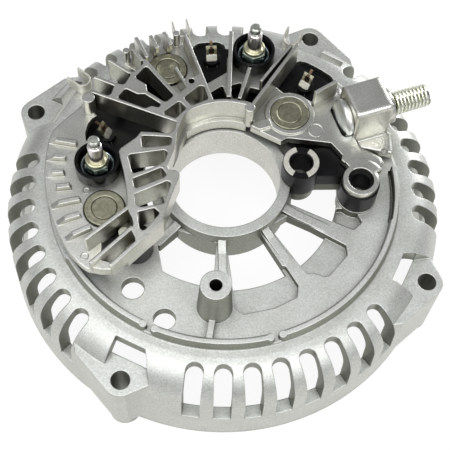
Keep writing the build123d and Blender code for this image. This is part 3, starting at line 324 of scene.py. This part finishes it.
tin = plated("tin_plated_strip", "#D9D8CC", "#EFEEE6", 0.42, 1.4)
olive_tin = plated("dulled_tin_strip", "#85846F", "#B4B29B", 0.36, 1.4)
copper = plated("tarnished_copper_lead", "#4A3D31", "#8C745C", 0.4, 0.9)
strips = bmesh.new()
legs = bmesh.new()
leads = bmesh.new()
for radius, angle in TERMINALS:
    spot = Matrix.Rotation(math.radians(angle), 4, "Z") @ Matrix.Translation((radius, 0, 0))
    bent_strip(strips, spot, TERMINAL_FACE, TERMINAL_WIDTH, TERMINAL_SHEET)
    for side in (-1, 1):
        aside = side * (TERMINAL_WIDTH - TERMINAL_LEG) / 2
        bent_strip(legs, spot, TERMINAL_LEGS, TERMINAL_LEG, TERMINAL_SHEET, aside)
    bent_strip(legs, spot, TERMINAL_BRIDGE, TERMINAL_WIDTH, TERMINAL_SHEET)
    bent_strip(leads, spot, TERMINAL_TIP, TERMINAL_LEG, TERMINAL_SHEET)
    bent_strip(leads, spot, LEAD, LEAD_WIDTH, LEAD_WIDTH)
terminal_strips = finished("phase_terminal_strips", strips, [tin], 30)
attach(terminal_strips, "root")
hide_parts("phase_terminals")
terminal_legs = finished("phase_terminal_legs", legs, [olive_tin], 30)
lead_ends = finished("diode_lead_ends", leads, [copper], 60)
for piece in (terminal_legs, lead_ends):
    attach(piece, "root")

# Heat sink: the second aluminium casting, left as cast. Level faces are pale, while the drafted
# walls keep a beige release film; the whole casting is smoother than the frame, so its walls mirror
# what stands opposite them.
# A shallow pocket is cut in front of the battery bolt's head, with a boss below to hold it.
BLOCK_START_X = 0.0429
BLOCK_EDGE = 0.0018
BOLT_Y = 0.0054
BOLT_Z = 0.0441
HEAD_RECESS = [(0.0395, 0.0), (0.0395, 0.0051), (0.0402, 0.0061), (0.0407, 0.0063), (0.0407, 0.0)]
RECESS_BOSS = [(0.0378, 0.0430), (-0.0019, 0.0127), (0.0368, 0.0421)]
SINK_WALLS = [(0.0, "#DAD9CE"), (1.0, "#E4E3DA")]
SINK_CREASE = 28


def block_edges(tree, place):
    """Edge softness: the battery block has wide rounded edges, the lattice narrow ones."""
    along = add(tree, "ShaderNodeSeparateXYZ", {0: place["Object"]}).outputs["X"]
    inside = add(tree, "ShaderNodeMath", {0: along}, {1: BLOCK_START_X}, operation="GREATER_THAN")
    return add(tree, "ShaderNodeMapRange", {"Value": inside.outputs[0]},
               {"To Min": CAST_EDGE, "To Max": BLOCK_EDGE}).outputs[0]


def turned(mesh, outline, origin, axis, steps=96, start=0.0, paint=0):
    """A lathe-turned solid from (distance along the axis, radius) points, added to a bmesh."""
    side = Vector((axis.z, axis.x, axis.y))
    other = axis.cross(side)
    rings = []
    for along, radius in outline:
        centre = origin + axis * along
        turns = [start + 2 * math.pi * i / steps for i in range(steps)] if radius else [0.0]
        spots = [centre + side * radius * math.cos(a) + other * radius * math.sin(a) for a in turns]
        rings.append([mesh.verts.new(spot) for spot in spots])
    for low, high in zip(rings, rings[1:]):
        for i in range(steps):
            after = i + 1
            corners = [low[i % len(low)], low[after % len(low)], high[after % len(high)], high[i % len(high)]]
            face = mesh.faces.new(list(dict.fromkeys(corners)))
            face.material_index = paint


def copy_of(node):
    """A CAD node's faces as a bmesh of its own, with its loose triangles joined."""
    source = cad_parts[node].data
    mesh = bmesh.new()
    corners = [mesh.verts.new(v.co) for v in source.vertices]
    for face in source.polygons:
        mesh.faces.new([corners[i] for i in face.vertices])
    bmesh.ops.remove_doubles(mesh, verts=mesh.verts, dist=1e-6)
    return mesh


def boxed(spans):
    """A plain box between the given ends on each axis, as a bmesh."""
    mesh = bmesh.new()
    middle = Vector([sum(span) / 2 for span in spans])
    size = Matrix.Diagonal([high - low for low, high in spans] + [1])
    bmesh.ops.create_cube(mesh, size=1.0, matrix=Matrix.Translation(middle) @ size)
    return mesh


def settled(piece):
    """Puts what a piece's modifiers make into its mesh, and takes the modifiers off."""
    shown = bpy.context.evaluated_depsgraph_get()
    shown.update()
    piece.data = bpy.data.meshes.new_from_object(piece.evaluated_get(shown))
    piece.modifiers.clear()


# Painted shade on the heat sink: its corners and pockets are darkened towards the corner colour.
as_cast = cast_aluminium("as_cast_aluminium", "#DCDDDA", SINK_WALLS, WHITE, "#85847A", 0.3, block_edges)
recess = bmesh.new()
turned(recess, HEAD_RECESS, Vector((0, BOLT_Y, BOLT_Z)), Vector((1, 0, 0)), 64)
heat_sink = finished("heat_sink_casting", copy_of("positive_heat_sink"), [as_cast], SINK_CREASE)
tools = [
    ("UNION", finished("recess_boss", boxed(RECESS_BOSS), [as_cast])),
    ("DIFFERENCE", finished("recess_cutter", recess, [as_cast])),
]
for operation, tool in tools:
    cut = heat_sink.modifiers.new(tool.name, "BOOLEAN")
    cut.operation = operation
    cut.solver = "EXACT"
    cut.object = tool
settled(heat_sink)
creased(heat_sink.data, SINK_CREASE)
flatten = heat_sink.modifiers.new("flat_faces", "WEIGHTED_NORMAL")
flatten.keep_sharp = True
flatten.weight = 100
settled(heat_sink)
for operation, tool in tools:
    bpy.data.objects.remove(tool)
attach(heat_sink, "root")
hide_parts("positive_heat_sink")
dress("end_rivet", as_cast)

# Ejector marks: round witnesses that the mould's pins leave on the heat sink's level faces. They
# are part of the casting, with its skin, and each is a low rim that stands a hair proud.
EJECTOR_MARKS = [  # x, y, level of the face, radius
    (-0.0430, 0.0063, 0.0425, 0.0012), (-0.0495, -0.0150, 0.0425, 0.0013),
    (0.0322, 0.0048, 0.0425, 0.0026), (0.0518, -0.0073, 0.0380, 0.0013),
]
EJECTOR_RIM = 0.00025
EJECTOR_LEVELS = (-0.0002, 0.00014, 0.00002)  # foot below the face, crown and dip above it
marks = bmesh.new()
for x, y, z, radius in EJECTOR_MARKS:
    foot, crown, dip = EJECTOR_LEVELS
    inner = radius - EJECTOR_RIM
    outline = [(foot, 0.0), (foot, radius), (crown, radius), (crown, inner), (dip, inner), (dip, 0.0)]
    turned(marks, outline, Vector((x, y, z)), Vector((0, 0, 1)), 48)
ejector_marks = finished("ejector_marks", marks, [as_cast], 12)
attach(ejector_marks, "root")

# Stud insulators: black phenolic cups, compression moulded and glossier than the nylon, each with
# a dished washer of bright zinc plated spring steel, painted with a dark reflection of the cup in its
# dish and a highlight on its rim.
STUDS = [(-0.0374, 0.0128), (0.0229, 0.0375)]
WASHER_RADIUS = 0.0054
SCRATCH_MM = 2.5
# Painted reflection and highlight: the dish dark as a reflection of the black cup, the rim pale and bluish as
# a highlight.
WASHER_PAINTED_LIGHT_AND_SHADE = [
    (0.0, "#4A4F50"), (0.76, "#3C4143"), (0.82, "#6E7C84"),
    (0.9, "#DCE8EE"), (0.96, "#F4F8FA"), (1.0, "#8FA7B4"),
]
WASHER_HEIGHT = [(0.7, "#000000"), (0.92, WHITE), (1.0, "#BCBCBC")]
dress("insulating_cups", black_moulding("black_phenolic", "#0A0B0C", 0.22, 0.00003))


def dished_washer(name, centres):
    """Bright zinc painted with light and shade: the dish is painted dark as a reflection of the black cup,
    and the raised rim pale and bluish as a highlight.
    """
    material, tree, shader, place = new_material(name)
    out = from_nearest(tree, place, centres, WASHER_RADIUS)
    shade = add(tree, "ShaderNodeValToRGB", {0: out}, stops=WASHER_PAINTED_LIGHT_AND_SHADE)
    dish = add(tree, "ShaderNodeValToRGB", {0: out}, stops=WASHER_HEIGHT)
    scratch = add(tree, "ShaderNodeTexNoise", {"Vector": place["Object"]},
                  {"Scale": 1000 / SCRATCH_MM, "Detail": 3.0})
    bloom = add(tree, "ShaderNodeValToRGB", {0: scratch.outputs["Fac"]},
                stops=[(0.35, "#E2EAEE"), (0.65, WHITE)])
    paint = add(tree, "ShaderNodeMix", {6: shade.outputs[0], 7: bloom.outputs[0]}, {0: 1.0}, **TINTED)
    tree.links.new(paint.outputs[2], shader.inputs["Base Color"])
    shader.inputs["Metallic"].default_value = 1.0
    shader.inputs["Roughness"].default_value = 0.24
    soft = add(tree, "ShaderNodeBevel", values={"Radius": 0.0003}, samples=6)
    dished = add(tree, "ShaderNodeBump", {"Height": dish.outputs[0], "Normal": soft.outputs[0]},
                 {"Strength": 1.0, "Distance": 0.0005})
    tree.links.new(dished.outputs[0], shader.inputs["Normal"])
    return material


dress("stud_washers", dished_washer("bright_zinc_dished_washer", STUDS))

# Stud bolts: steel, cold headed with a hexagon and a round collar, then turned and zinc plated.
# Passivation leaves the shank pinkish white, the collar yellow and the hexagon green grey; the
# hexagon's darkness is a painted reflection of the black cup around it.
HEX_CORNER = 0.00415
HEX_TURN = math.radians(-116)
STUD_SHANK = [
    (0.0230, 0.0), (0.0230, 0.0023), (0.0233, 0.0025), (0.0470, 0.0025), (0.0486, 0.0023),
    (0.0553, 0.0023), (0.0558, 0.0021), (0.0560, 0.0018), (0.0560, 0.0),
]
STUD_TIP = [
    (0.0558, 0.0), (0.0558, 0.0013), (0.0567, 0.0013), (0.0569, 0.0017), (0.0571, 0.0018),
    (0.0585, 0.0018), (0.0588, 0.0016), (0.0590, 0.0013), (0.0590, 0.0),
]
STUD_COLLAR = [
    (0.0474, 0.0), (0.0474, 0.0032), (0.0477, 0.0035), (0.0483, 0.0036), (0.0488, 0.0034),
    (0.0489, 0.0031), (0.0487, 0.0027), (0.0485, 0.0024), (0.0485, 0.0),
]
STUD_HEX = [
    (0.0452, 0.0), (0.0452, HEX_CORNER), (0.0473, HEX_CORNER), (0.0478, HEX_CORNER - 0.0007),
    (0.0478, 0.0),
]
shank_zinc = plated("pinkish_zinc_shank", "#E3DCDF", "#F8F5F5", 0.26, 2.2)
tip_zinc = plated("silver_zinc_tip", "#9DA29A", "#D3D6CF", 0.3, 1.2)
collar_zinc = plated("yellow_zinc_collar", "#B7B998", "#E2E1C4", 0.28, 1.8)
# The hexagon's dark green grey is partly its passivation tint and partly a painted reflection of the black
# cup.
hexagon_zinc_and_reflection = plated("green_grey_zinc_hexagon", "#4B5149", "#7B8277", 0.24, 1.6)
for name, outline, steps, start, zinc, crease in (
    ("stud_shanks", STUD_SHANK, 64, 0.0, shank_zinc, 30),
    ("stud_tips", STUD_TIP, 64, 0.0, tip_zinc, 30),
    ("stud_collars", STUD_COLLAR, 64, 0.0, collar_zinc, 30),
    ("stud_hexagons", STUD_HEX, 6, HEX_TURN, hexagon_zinc_and_reflection, 25),
):
    pair = bmesh.new()
    for x, y in STUDS:
        turned(pair, outline, Vector((x, y, 0)), Vector((0, 0, 1)), steps, start)
    piece = finished(name, pair, [zinc], crease)
    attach(piece, "root")
    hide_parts("stud_bolts")

# Battery bolt: steel with a low domed head and a rolled thread, zinc plated. The head sits against
# the block, bright and bluish, and the thread stands out of the collar, tinted yellow green.
BOLT_ROOT = 0.0029
BOLT_CREST = 0.0037
BOLT_PITCH = 0.00125
THREAD_FROM = 0.0579
THREAD_TO = 0.0708
BOLT_HEAD = [
    (0.0399, 0.0), (0.03995, 0.0015), (0.0401, 0.0030), (0.0403, 0.0042), (0.0405, 0.0050),
    (0.0407, 0.0055), (0.0410, 0.0059), (0.0414, 0.0061), (0.0419, 0.0062), (0.0425, 0.0062),
    (0.0429, 0.0061), (0.0431, 0.0059), (0.0431, 0.0),
]
BOLT_CORE = [
    (0.0430, 0.0), (0.0430, 0.0037), (0.0577, 0.0037), (0.0579, BOLT_ROOT), (0.0704, BOLT_ROOT),
    (0.0710, BOLT_ROOT - 0.0003), (0.0712, BOLT_ROOT - 0.0007), (0.0712, 0.0),
]
BATH_MM = 1.6
# Painted light and shade on the thread: valleys painted dark green as shade, crests pale as highlights.
THREAD_PAINTED_LIGHT_AND_SHADE = [(0.80, "#4B5140"), (0.90, "#B4BAA0"), (0.96, "#E4E7D6"), (1.0, "#F2F3EA")]


def threaded_zinc(name):
    """Zinc plate on a thread, painted by distance from the bolt's axis: pale crests as a painted highlight,
    dark green valleys as painted shade.
    """
    material, tree, shader, place = new_material(name)
    off = add(tree, "ShaderNodeVectorMath", {0: place["Object"]}, {1: (0, BOLT_Y, BOLT_Z)},
              operation="SUBTRACT")
    across = add(tree, "ShaderNodeVectorMath", {0: off.outputs[0]},
                 {1: (0, 1 / BOLT_CREST, 1 / BOLT_CREST)}, operation="MULTIPLY")
    out = add(tree, "ShaderNodeVectorMath", {0: across.outputs[0]}, operation="LENGTH")
    body = add(tree, "ShaderNodeValToRGB", {0: out.outputs["Value"]}, stops=THREAD_PAINTED_LIGHT_AND_SHADE)
    bath = add(tree, "ShaderNodeTexNoise", {"Vector": place["Object"]},
               {"Scale": 1000 / BATH_MM, "Detail": 3.0})
    tint = add(tree, "ShaderNodeValToRGB", {0: bath.outputs["Fac"]},
               stops=[(0.35, "#E6EAD2"), (0.65, WHITE)])
    paint = add(tree, "ShaderNodeMix", {6: body.outputs[0], 7: tint.outputs[0]}, {0: 1.0}, **TINTED)
    tree.links.new(paint.outputs[2], shader.inputs["Base Color"])
    shader.inputs["Metallic"].default_value = 1.0
    shader.inputs["Roughness"].default_value = 0.22
    return material


head_zinc = plated("bright_zinc_bolt_head", "#D3D7D6", "#F0F1EE", 0.36, 3.0)
thread_zinc = threaded_zinc("yellow_green_zinc_thread")
bolt = bmesh.new()
turned(bolt, BOLT_HEAD, Vector((0, BOLT_Y, BOLT_Z)), Vector((1, 0, 0)))
turned(bolt, BOLT_CORE, Vector((0, BOLT_Y, BOLT_Z)), Vector((1, 0, 0)), paint=1)
battery_bolt = finished("battery_bolt_body", bolt, [head_zinc, thread_zinc], 30)
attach(battery_bolt, "root")
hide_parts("battery_bolt")


def rolled_thread(name, material):
    """A tree that sweeps a rounded ridge along a spiral and lets it run out at both ends."""
    tree = bpy.data.node_groups.new(name, "GeometryNodeTree")
    tree.interface.new_socket("Geometry", in_out="OUTPUT", socket_type="NodeSocketGeometry")
    for label in ("Root radius", "Crest radius", "Pitch", "Length"):
        tree.interface.new_socket(label, in_out="INPUT", socket_type="NodeSocketFloat")
    given = add(tree, "NodeGroupInput").outputs
    root, crest, pitch, length = (given[i] for i in range(4))
    turns = add(tree, "ShaderNodeMath", {0: length, 1: pitch}, operation="DIVIDE").outputs[0]
    depth = add(tree, "ShaderNodeMath", {0: crest, 1: root}, operation="SUBTRACT").outputs[0]
    ridge = add(tree, "ShaderNodeMath", {0: depth}, {1: 1.2}, operation="MULTIPLY").outputs[0]
    half = add(tree, "ShaderNodeMath", {0: ridge}, {1: 0.5}, operation="MULTIPLY").outputs[0]
    middle = add(tree, "ShaderNodeMath", {0: crest, 1: half}, operation="SUBTRACT").outputs[0]
    spiral = add(tree, "GeometryNodeCurveSpiral",
                 {"Rotations": turns, "Start Radius": middle, "End Radius": middle, "Height": length},
                 {"Resolution": 72})
    level = add(tree, "GeometryNodeSetCurveNormal", {"Curve": spiral.outputs[0]}, mode="Z_UP")
    foot = add(tree, "ShaderNodeMath", {0: pitch}, {1: 0.96}, operation="MULTIPLY").outputs[0]
    brow = add(tree, "ShaderNodeMath", {0: pitch}, {1: 0.2}, operation="MULTIPLY").outputs[0]
    profile = add(tree, "GeometryNodeCurvePrimitiveQuadrilateral",
                  {"Bottom Width": foot, "Top Width": brow, "Height": ridge}, {"Offset": 0.0},
                  mode="TRAPEZOID")
    outward = add(tree, "GeometryNodeTransform", {"Geometry": profile.outputs[0]},
                  {"Rotation": (0, 0, -math.pi / 2)})
    done = add(tree, "GeometryNodeSplineParameter").outputs["Factor"]
    left = add(tree, "ShaderNodeMath", {1: done}, {0: 1.0}, operation="SUBTRACT").outputs[0]
    nearer = add(tree, "ShaderNodeMath", {0: done, 1: left}, operation="MINIMUM").outputs[0]
    from_end = add(tree, "ShaderNodeMath", {0: nearer, 1: turns}, operation="MULTIPLY").outputs[0]
    run_out = add(tree, "ShaderNodeMath", {0: from_end}, {1: 0.9, 2: 0.35},
                  operation="MULTIPLY_ADD", use_clamp=True).outputs[0]
    swept = add(tree, "GeometryNodeCurveToMesh",
                {"Curve": level.outputs[0], "Profile Curve": outward.outputs[0], "Scale": run_out},
                {"Fill Caps": True})
    rounded = add(tree, "GeometryNodeSetShadeSmooth", {"Geometry": swept.outputs[0]})
    real = add(tree, "GeometryNodeRealizeInstances", {"Geometry": rounded.outputs[0]})
    painted = add(tree, "GeometryNodeSetMaterial", {"Geometry": real.outputs[0]}, {"Material": material})
    add(tree, "NodeGroupOutput", {0: painted.outputs[0]})
    return tree


thread = bpy.data.objects.new("battery_bolt_thread", bpy.data.meshes.new("battery_bolt_thread"))
bpy.context.scene.collection.objects.link(thread)
rolling = thread.modifiers.new("rolling", "NODES")
rolling.node_group = rolled_thread("rolled_thread", thread_zinc)
sizes = {
    "Root radius": BOLT_ROOT, "Crest radius": BOLT_CREST,
    "Pitch": BOLT_PITCH, "Length": THREAD_TO - THREAD_FROM,
}
for socket in rolling.node_group.interface.items_tree:
    if socket.name in sizes:
        rolling[socket.identifier] = sizes[socket.name]
settled(thread)
along_bolt = Matrix.Rotation(math.radians(90), 4, "Y")
thread.data.transform(Matrix.Translation((THREAD_FROM, BOLT_Y, BOLT_Z)) @ along_bolt)
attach(thread, "root")

# Split ring in the tower, and the wire clips on the shoulder: sheared from the same tinned strip
# as the terminals and bent to shape, so they share its cream white.
dress("regulator_split_ring", tin)
dress("wire_clips", tin)

# Floor, light and camera: a pale sheet under soft studio light, seen from the photo's angle.
# The camera's place and lens were solved from the frame's circles and ears.
FLOOR_SIZE = 6.0
AIR_LIGHT = 0.36
LIT_POINT = Vector((0, 0, 0.03))
bpy.ops.mesh.primitive_plane_add(size=FLOOR_SIZE, location=(0, 0, 0))
floor = bpy.context.object
floor.name = "floor"
sheet = bpy.data.materials.new("white_sheet")
sheet.use_nodes = True
tree = sheet.node_tree
tree.nodes.clear()
ray = add(tree, "ShaderNodeLightPath").outputs
lit = add(tree, "ShaderNodeBsdfDiffuse", values={"Color": linear("#E6E6E4")})
paper = add(tree, "ShaderNodeBsdfDiffuse", values={"Color": linear("#626262")})
glow = add(tree, "ShaderNodeEmission", values={"Color": linear(WHITE), "Strength": 0.9})
seen = add(tree, "ShaderNodeAddShader", {0: paper.outputs[0], 1: glow.outputs[0]})
straight = ray["Is Camera Ray"]
for also in ("Is Glossy Ray", "Is Transmission Ray"):
    straight = add(tree, "ShaderNodeMath", {0: straight, 1: ray[also]}, operation="MAXIMUM").outputs[0]
choice = add(tree, "ShaderNodeMixShader", {0: straight, 1: lit.outputs[0], 2: seen.outputs[0]})
add(tree, "ShaderNodeOutputMaterial", {0: choice.outputs[0]})
floor.data.materials.append(sheet)

world = bpy.data.worlds.new("studio")
bpy.context.scene.world = world
world.use_nodes = True
tree = world.node_tree
tree.nodes.clear()
ray = add(tree, "ShaderNodeLightPath").outputs
straight = add(tree, "ShaderNodeMath", {0: ray["Is Camera Ray"], 1: ray["Is Transmission Ray"]},
               operation="MAXIMUM")
level = add(tree, "ShaderNodeMapRange", {"Value": straight.outputs[0]},
            {"To Min": AIR_LIGHT, "To Max": 1.0})
air = add(tree, "ShaderNodeBackground", {"Strength": level.outputs[0]}, {"Color": linear(WHITE)})
add(tree, "ShaderNodeOutputWorld", {0: air.outputs[0]})


def softbox(name, place, width, height, power):
    """A rectangular studio lamp aimed at the middle of the part."""
    light = bpy.data.lights.new(name, "AREA")
    light.shape = "RECTANGLE"
    light.size = width
    light.size_y = height
    light.energy = power
    lamp = bpy.data.objects.new(name, light)
    lamp.location = place
    lamp.rotation_mode = "QUATERNION"
    lamp.rotation_quaternion = (LIT_POINT - Vector(place)).to_track_quat("-Z", "Y")
    bpy.context.scene.collection.objects.link(lamp)


softbox("key_softbox", (-0.22, -0.11, 0.72), 0.8, 0.8, 4.4)
softbox("front_softbox", (0.18, -0.70, 0.54), 0.5, 0.35, 1.2)
softbox("edge_softbox", (0.25, -0.40, 0.70), 0.14, 0.14, 1.0)
softbox("left_softbox", (-0.72, -0.20, 0.40), 0.45, 0.4, 0.6)
softbox("right_softbox", (0.74, 0.40, 0.28), 0.45, 0.4, 3.0)

AZIMUTH = math.radians(-22.465)
ELEVATION = math.radians(62.321)
ROLL = math.radians(3.5825)
DISTANCE = 0.319376
TARGET = Vector((-0.003488, -0.010913, 0.0272))
LENS_MM = 79.87
SENSOR_MM = 36.0
reach = math.cos(ELEVATION)
back = Vector((math.sin(AZIMUTH) * reach, -math.cos(AZIMUTH) * reach, math.sin(ELEVATION)))
right = Vector((0, 0, 1)).cross(back).normalized()
up = back.cross(right)
across = right * math.cos(ROLL) + up * math.sin(ROLL)
upward = up * math.cos(ROLL) - right * math.sin(ROLL)
view = Matrix((across, upward, back)).transposed().to_4x4()
view.translation = TARGET + back * DISTANCE
lens = bpy.data.cameras.new("camera")
lens.sensor_width = SENSOR_MM
lens.lens = LENS_MM
lens.clip_start = 0.01
lens.clip_end = 20.0
camera = bpy.data.objects.new("camera", lens)
camera.matrix_world = view
bpy.context.scene.collection.objects.link(camera)
bpy.context.scene.camera = camera
bpy.context.scene.view_settings.view_transform = "Standard"
